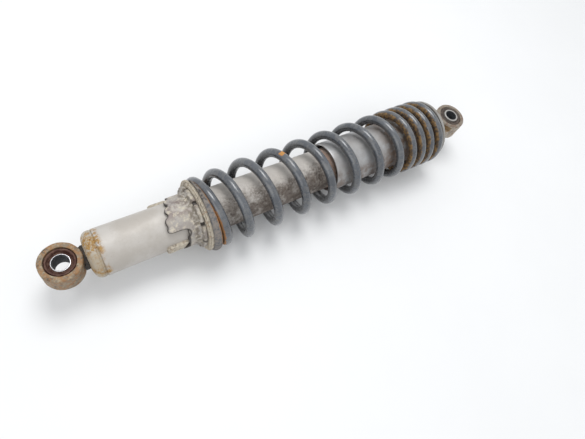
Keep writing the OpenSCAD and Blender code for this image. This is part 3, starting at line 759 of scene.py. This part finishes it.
def cam_ring():
    """Cam sleeve with its worn steps, flared into a collar with spanner notches."""
    sleeve_r, inner_r, collar_r, collar_x = 22.5, tube_r + 0.3, 27.3, cam_end_x - 3.2
    notches, notch_first, notch_half, notch_depth = 9, 12, 3.6, 2.6
    half = [Vector((math.radians(a) * sleeve_r, x)) for a, x in CAM_EDGE]
    turn_length = math.pi * sleeve_r
    edge = [p + Vector((turn_length * side, 0)) for side in (0, 1) for p in half]
    closed = smooth_loop(edge + [edge[0] + Vector((2 * turn_length, 0))], 2)
    line = [p for p in closed if edge[0].x - 0.1 <= p.x < edge[0].x + 2 * turn_length - 0.05]
    lengths = np.cumsum([0] + [(b - a).length for a, b in zip(line, line[1:])])
    columns = 900
    even = np.linspace(0, lengths[-1], columns, endpoint=False)
    edge_turn = np.interp(even, lengths, [p.x / sleeve_r for p in line])
    edge_x = np.interp(even, lengths, [p.y for p in line])
    flat_turn = edge_turn[0] + np.linspace(0, 2 * math.pi, columns, endpoint=False)
    # The collar's columns are spread out evenly but follow the edge's, so that none of them cross
    drift, width = edge_turn - flat_turn, 75
    around = np.concatenate([drift[-width:], drift, drift[:width]])
    flat_turn = flat_turn + np.convolve(around, np.full(2 * width + 1, 1 / (2 * width + 1)), "valid")
    rings, edges, cuts = [], [], []
    edge_line = np.column_stack([edge_turn * sleeve_r, edge_x])
    for column in range(columns):
        turn_there, top = edge_turn[column], edge_x[column]
        section = [(inner_r, collar_x + 3.2, 1), (inner_r, collar_x, 1)]
        for t in (0.25, 0.5, 0.75):
            section.append((inner_r, collar_x + (top + 1.2 - collar_x) * t, 1 - t))
        section += [(inner_r, top + 0.9, 0), (inner_r + 0.35, top + 0.2, 0), (inner_r + 1.1, top, 0)]
        section += [(sleeve_r - 0.9, top, 0), (sleeve_r - 0.25, top + 0.25, 0), (sleeve_r, top + 0.9, 0)]
        for t in (0.03, 0.06, *np.linspace(0.1, 0.92, 12)):
            section.append((sleeve_r, top + 0.9 + (collar_x - 3 - top - 0.9) * t, t))
        for r, x in ((0, -3), (0.25, -1.9), (0.8, -1.0), (1.8, -0.35), (3.2, 0), (4.3, 0.15), (4.8, 0.75), (4.8, 2.5), (4.4, 3.2)):
            section.append((sleeve_r + r, collar_x + x, 1))
        section += [(sleeve_r + 2, collar_x + 3.2, 1)]
        ring = []
        for r, x, flat in section:
            turn = turn_there * (1 - flat) + flat_turn[column] * flat
            away = (math.degrees(turn) - notch_first + 180 / notches) % (360 / notches) - 180 / notches
            cut = max(0.0, min(1.0, (notch_half + 0.5 - abs(away)) / 0.5))
            cuts.append(cut if r > sleeve_r + 2.6 else 0.0)
            away_from_edge = np.hypot(*(edge_line - (turn * sleeve_r, x)).T).min() if flat < 0.4 else 9.0
            edges.append(float(max(0.0, min(1.0, 1.5 - away_from_edge / 0.7))))
            r = min(r, collar_r + 0.3 - notch_depth * cut) if r > sleeve_r + 1 else r
            ring.append((x, r * math.cos(turn), r * math.sin(turn)))
        rings.append(ring)
    vertices, faces = rings_mesh(rings)
    worn = roughen(roughen(vertices, 6, 0.16), 1.8, 0.07, 4)
    data = mesh_object("cam_ring_worn", worn, faces, "cam_metal", "cam_ring", ("preload_cam_ring",), sharp=60).data
    for label, values in (("edge", edges), ("notch", cuts)):
        data.attributes.new(label, "FLOAT", "POINT").data.foreach_set("value", values)


cam_ring()

lathe_x(
    "lower_seat",
    [(tube_r + 0.3, seat_x, 0.1), (29.6, seat_x, 0.4), (30.4, seat_x + 0.5, 0.3), (30.0, seat_x + 1.0, 0.2),
     (seat_r - 0.4, seat_x + 1.25, 0.4), (seat_r - 0.1, seat_x + 1.9, 0.3), (seat_r - 0.6, seat_x + 2.15, 0.15),
     (seat_r - 0.1, seat_x + 2.5, 0.2), (seat_r - 0.3, lower_face_x, 0.3), (23.4, lower_face_x, 0.2),
     (22.6, seat_end_x, 0.5), (tube_r + 0.3, seat_end_x, 0.2)],
    "seat_metal", "spring_seat", "lower_spring_seat", edge=1.0, lumps=(3.2, 0.26), steps=260,
)

# ---------------------------------------------------------------- coil spring

WIRE_R, COIL_R = 4.2, 30.6
# Stations of the spring wire, as in the CAD: turn, position along X, mean radius
STATIONS = np.array([
    [0.14, lower_face_x - 2.4, 29.6], [0.26, lower_face_x + 1.2, 30.2], [0.60, lower_face_x + 5.5, 30.0],
    [1.00, lower_face_x + 4.8, 28.4], [1.15, lower_face_x + 5.3, 28.2], [1.29, lower_face_x + 9.4, 28.5],
    [1.55, lower_face_x + 15.1, 29.2],
    [2.08, 134, 29.4], [2.55, 146, 30.4], [3.08, 161.5, COIL_R], [8.00, 307.5, COIL_R], [8.40, 317, COIL_R],
    [8.75, 324, COIL_R], [9.40, 335, COIL_R], [10.40, 348, COIL_R], [11.40, 360.3, COIL_R],
    [12.05, 368.6, COIL_R], [12.40, upper_face_x - 5.2, COIL_R], [13.05, upper_face_x - 1.2, COIL_R - 0.4],
])
SPRING_START, SPRING_END, SPRING_JOIN = STATIONS[0, 0], STATIONS[-1, 0], 2.7
DEAD_COIL_END = 1.3


def raw_x(t):
    return np.interp(t, STATIONS[:, 0], STATIONS[:, 1])


def wire_x(t):
    return (raw_x(t - 0.1) + 2 * raw_x(t) + raw_x(t + 0.1)) / 4


def closing(start, end, travel):
    """Share of the travel that the wire at each turn has taken up, from 0 at start to 1 at end.
    Every turn closes by the same amount until it touches the next one."""
    t = np.linspace(start, end, 2000)
    room = np.maximum(np.gradient(wire_x(t), t) - 2 * WIRE_R - 0.15, 0)
    room[t < DEAD_COIL_END] = 0
    low, high = 0.0, 100.0
    for _ in range(60):
        even = (low + high) / 2
        taken = np.minimum(room, even).sum() * (t[1] - t[0])
        low, high = (even, high) if taken < travel else (low, even)
    share = np.cumsum(np.minimum(room, even))
    return t, share / share[-1]


def spring_piece(name, start, end, bodies, travel):
    """One length of the wire as a closed mesh with flat ground faces, bent between two bodies."""
    count, sides = int((end - start) * 110), 28
    vertices, turns, grooves, outers = [], [], [], []
    sites = np.linspace(start, end, count + 1)
    for t in sites:
        a, r = 2 * math.pi * t, float(np.interp(t, STATIONS[:, 0], STATIONS[:, 2]))
        slope = (wire_x(t + 0.02) - wire_x(t - 0.02)) / 0.04
        tilt = math.atan(slope / (2 * math.pi * r))
        close_above = np.interp(t, [0.3, 0.5, 0.9, 1.4, 7.6, 8.3, 11.6, 12.2], [0.9, 1.05, 0.9, 0, 0, 0.85, 1.0, 0.4])
        close_below = np.interp(t, [1.25, 1.33, 1.7, 2.2, 8.5, 9.1, 12.4, 13.0], [0, 1.05, 1, 0, 0, 0.9, 1.0, 0.4])
        for s in range(sides):
            b = 2 * math.pi * s / sides
            out, along = WIRE_R * math.cos(b), WIRE_R * math.sin(b)
            x = min(max(wire_x(t) + along * math.cos(tilt), lower_face_x), upper_face_x)
            y = (r + out) * math.cos(a) + along * math.sin(tilt) * math.sin(a)
            z = (r + out) * math.sin(a) - along * math.sin(tilt) * math.cos(a)
            vertices.append((x, y, z))
            turns.append(t)
            grooves.append((close_above if along > 0 else close_below) * min(1.0, abs(math.sin(b)) ** 1.6))
            outers.append((1 + math.cos(b)) / 2)
    faces = []
    for i in range(count):
        for s in range(sides):
            a, b = i * sides + s, i * sides + (s + 1) % sides
            faces.append((a, a + sides, b + sides, b))
    faces += [tuple(range(sides)), tuple(range(count * sides, (count + 1) * sides))]
    obj = mesh_object(name, vertices, faces, "spring_paint", None, ("coil_spring",))
    data = obj.data
    for label, values in (("turn", turns), ("groove", grooves), ("outer", outers)):
        data.attributes.new(label, "FLOAT", "POINT").data.foreach_set("value", values)
    t_table, share = closing(start, end, travel)
    weight = np.repeat(np.interp(sites, t_table, share), sides).astype(np.float32)
    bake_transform(obj, *bodies, start=(wire_x(start) * MM, 0, 0), end=(wire_x(end) * MM, 0, 0))
    data.attributes["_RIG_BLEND"].data.foreach_set("value", weight)
    return obj


spring_piece("spring_lower_coils", SPRING_START, SPRING_JOIN, ("spring_seat", "damper_body"), 15.2)
spring_piece("spring_upper_coils", SPRING_JOIN, SPRING_END, ("damper_body", "sliding_band"), 85)

# ---------------------------------------------------------------- shroud and upper seat

wall = 1.5
lathe_x(
    "shroud",
    [(rod_r, shroud_end_x - 2, 0.1), (shroud_r - wall, shroud_end_x - 2, 0.4), (shroud_r - wall, shroud_x, 0.6),
     (shroud_r, shroud_x, 0.6), (shroud_r, shroud_end_x, 0.3), (rod_r, shroud_end_x, 0.1)],
    "shroud_metal", "rod_assembly", "dust_shroud", edge=3.0, lumps=(16, 0.14), steps=220,
)
lathe_x(
    "upper_seat",
    [(rod_r, shroud_end_x, 0.1), (shroud_r, shroud_end_x, 0.1), (shroud_r + 0.5, upper_face_x, 0.1),
     (upper_seat_r - 0.6, upper_face_x, 0.5), (upper_seat_r - 0.1, upper_face_x + 0.9, 0.6),
     (upper_seat_r - 0.3, upper_face_x + 3.0, 1.0), (27, upper_face_x + 3.4, 1.5), (21, upper_face_x + 4.0, 2.0),
     (17, neck_x, 1.0), (rod_r, neck_x, 0.1)],
    "upper_seat_paint", "rod_assembly", "upper_spring_seat", edge=1.6, lumps=(9, 0.15), steps=220,
)

# ---------------------------------------------------------------- finishes of the CAD nodes that stay

for row in frame["record"]["subparts"]:
    shown = nodes[row["node"]]
    shown.data.materials.clear()
    shown.data.materials.append(materials[row["material_slot"]])

# ---------------------------------------------------------------- floor, lights and camera


def plain(name, colour, roughness):
    paint = Paint(name)
    tone = paint.step(paint.grain(120, 3), 0.3, 0.7)
    return paint.done(paint.blend(tone, colour, tuple(0.985 * c for c in colour)), roughness)


floor_z = cad_box[0].z - 0.0003
floor_data = bpy.data.meshes.new("floor")
floor_size = 6.0
floor_data.from_pydata(
    [(x * floor_size, y * floor_size, floor_z) for x, y in ((-1, -1), (1, -1), (1, 1), (-1, 1))], [], [(0, 1, 2, 3)]
)
floor = bpy.data.objects.new("floor", floor_data)
floor_data.materials.append(plain("floor_white", (0.74, 0.745, 0.75), 0.5))
bpy.context.scene.collection.objects.link(floor)

middle = Vector((upper_x / 2 * MM, 0, 0))


def softbox(name, toward, distance, size, power):
    """Square area light that looks at the middle of the shock from the direction toward."""
    light = bpy.data.lights.new(name, "AREA")
    light.shape, light.size, light.energy = "SQUARE", size, power
    obj = bpy.data.objects.new(name, light)
    bpy.context.scene.collection.objects.link(obj)
    obj.location = middle + Vector(toward).normalized() * distance
    obj.rotation_euler = Vector(toward).to_track_quat("Z", "Y").to_euler()


softbox("overhead", (0.12, 0.30, 0.95), 1.2, 0.6, 7.5)
softbox("fill", (-0.7, -0.5, 0.6), 1.6, 1.2, 5)

world = bpy.data.worlds.new("studio")
bpy.context.scene.world = world
world.use_nodes = True
world.node_tree.nodes["Background"].inputs["Color"].default_value = (0.97, 0.985, 1.0, 1.0)
world.node_tree.nodes["Background"].inputs["Strength"].default_value = 0.88

# The shock lies rolled about its own axis on the table, so the camera is turned the other way
roll, azimuth, elevation = (math.radians(a) for a in (27.0, -33.7, 39.56))
camera_data = bpy.data.cameras.new("camera")
camera_data.sensor_width, camera_data.lens = 36, 27.08
camera = bpy.data.objects.new("camera", camera_data)
bpy.context.scene.collection.objects.link(camera)
stand = Vector((14.78, -288.14, 236.62)) * MM
aim = Matrix.Rotation(azimuth, 4, "Z") @ Matrix.Rotation(math.pi / 2 - elevation, 4, "X")
camera.matrix_world = Matrix.Rotation(-roll, 4, "X") @ Matrix.Translation(stand) @ aim
camera_data.clip_start = 0.01
bpy.context.scene.camera = camera
bpy.context.scene.view_settings.view_transform = "Standard"
